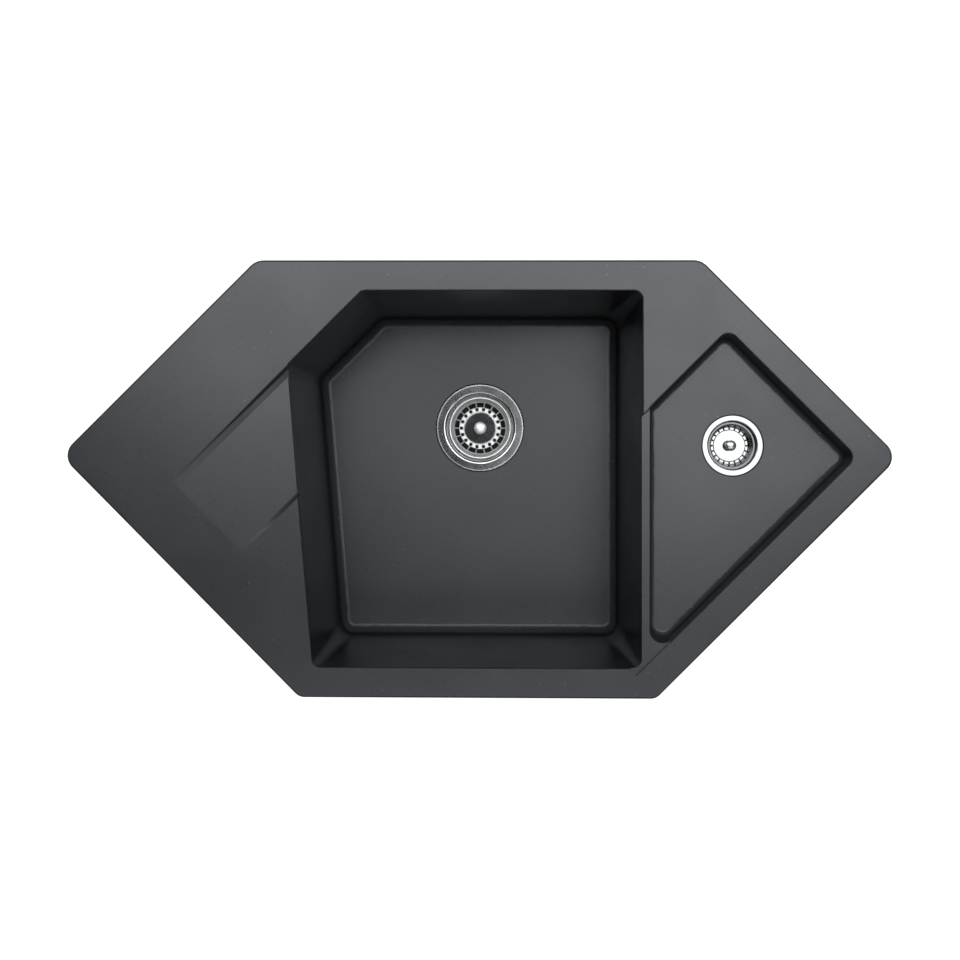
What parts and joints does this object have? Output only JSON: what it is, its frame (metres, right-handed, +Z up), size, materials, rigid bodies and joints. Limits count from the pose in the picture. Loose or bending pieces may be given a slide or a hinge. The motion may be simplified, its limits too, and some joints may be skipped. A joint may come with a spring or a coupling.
{
  "type": "corner kitchen sink",
  "caption": "Inset corner sink of granite composite: hexagonal deck with drainer, deep main bowl, shallow rinsing tray, basket strainer wastes and linking pipework.",
  "frame": {"origin": "middle of the outline on the worktop's surface, under the deck's rim", "axes": "+X along the length towards the rinsing tray, +Y to the back, where the room's corner is, +Z up out of the worktop"},
  "size_m": [0.942, 0.5, 0.385],
  "materials": {
    "granite": "matt grey granite composite with fine speckles",
    "polished_steel": "polished stainless steel",
    "zinc_steel": "bright zinc plate",
    "black_plastic": "moulded black polypropylene",
    "white_plastic": "moulded white polypropylene",
    "rubber": "black moulded rubber",
    "seal_foam": "dark closed-cell strip",
    "brass": "turned brass"
  },
  "bodies": {
    "root": {"clamp_plugs": "black_plastic", "clamp_screws": "zinc_steel", "cross_pipe": "white_plastic", "elbow_nuts": "white_plastic", "elbow_washers": "rubber", "main_body_gasket": "rubber", "main_clamp_bolt": "polished_steel", "main_flange_gasket": "rubber", "main_insert": "brass", "main_outlet_nut": "white_plastic", "main_outlet_washer": "rubber", "main_strainer_cup": "polished_steel", "main_waste_body": "black_plastic", "pipe_elbow": "white_plastic", "prep_body_gasket": "rubber", "prep_clamp_bolt": "polished_steel", "prep_drop_pipe": "white_plastic", "prep_flange_gasket": "rubber", "prep_insert": "brass", "prep_outlet_nut": "white_plastic", "prep_outlet_washer": "rubber", "prep_strainer_cup": "polished_steel", "prep_waste_body": "black_plastic", "rim_seal": "seal_foam", "sink_body": "granite", "tee_nut": "white_plastic", "tee_washer": "rubber", "waste_tee": "white_plastic"},
    "main_basket": {"main_basket": "polished_steel", "main_basket_knob": "polished_steel", "main_basket_stem": "polished_steel", "main_basket_seal": "rubber"},
    "prep_basket": {"prep_basket": "polished_steel", "prep_basket_knob": "polished_steel", "prep_basket_stem": "polished_steel", "prep_basket_seal": "rubber"},
    "clamp_1": {"clamp_arm_1": "zinc_steel"},
    "clamp_2": {"clamp_arm_2": "zinc_steel"},
    "clamp_3": {"clamp_arm_3": "zinc_steel"},
    "clamp_4": {"clamp_arm_4": "zinc_steel"},
    "clamp_5": {"clamp_arm_5": "zinc_steel"},
    "clamp_6": {"clamp_arm_6": "zinc_steel"},
    "clamp_7": {"clamp_arm_7": "zinc_steel"},
    "clamp_8": {"clamp_arm_8": "zinc_steel"}
  },
  "joints": [
    {"name": "main_basket_lift", "type": "slide", "parent": "root", "child": "main_basket", "axis": [0, 0, 1], "range_m": [0, 0.26]},
    {"name": "prep_basket_lift", "type": "slide", "parent": "root", "child": "prep_basket", "axis": [0, 0, 1], "range_m": [0, 0.09]},
    {"name": "clamp_1_turn", "type": "hinge", "parent": "root", "child": "clamp_1", "pos_m": [0.15, 0.2305, -0.043], "axis": [0, 0, -1], "range_deg": [0, 90]},
    {"name": "clamp_2_turn", "type": "hinge", "parent": "root", "child": "clamp_2", "pos_m": [-0.15, 0.2305, -0.043], "axis": [0, 0, -1], "range_deg": [0, 90]},
    {"name": "clamp_3_turn", "type": "hinge", "parent": "root", "child": "clamp_3", "pos_m": [-0.35314, 0.12406, -0.043], "axis": [0, 0, -1], "range_deg": [0, 90]},
    {"name": "clamp_4_turn", "type": "hinge", "parent": "root", "child": "clamp_4", "pos_m": [-0.32744, -0.09836, -0.043], "axis": [0, 0, -1], "range_deg": [0, 90]},
    {"name": "clamp_5_turn", "type": "hinge", "parent": "root", "child": "clamp_5", "pos_m": [-0.11, -0.2305, -0.043], "axis": [0, 0, -1], "range_deg": [0, 90]},
    {"name": "clamp_6_turn", "type": "hinge", "parent": "root", "child": "clamp_6", "pos_m": [0.11, -0.2305, -0.043], "axis": [0, 0, -1], "range_deg": [0, 90]},
    {"name": "clamp_7_turn", "type": "hinge", "parent": "root", "child": "clamp_7", "pos_m": [0.32744, -0.09836, -0.043], "axis": [0, 0, -1], "range_deg": [0, 90]},
    {"name": "clamp_8_turn", "type": "hinge", "parent": "root", "child": "clamp_8", "pos_m": [0.35314, 0.12406, -0.043], "axis": [0, 0, -1], "range_deg": [0, 90]}
  ]
}
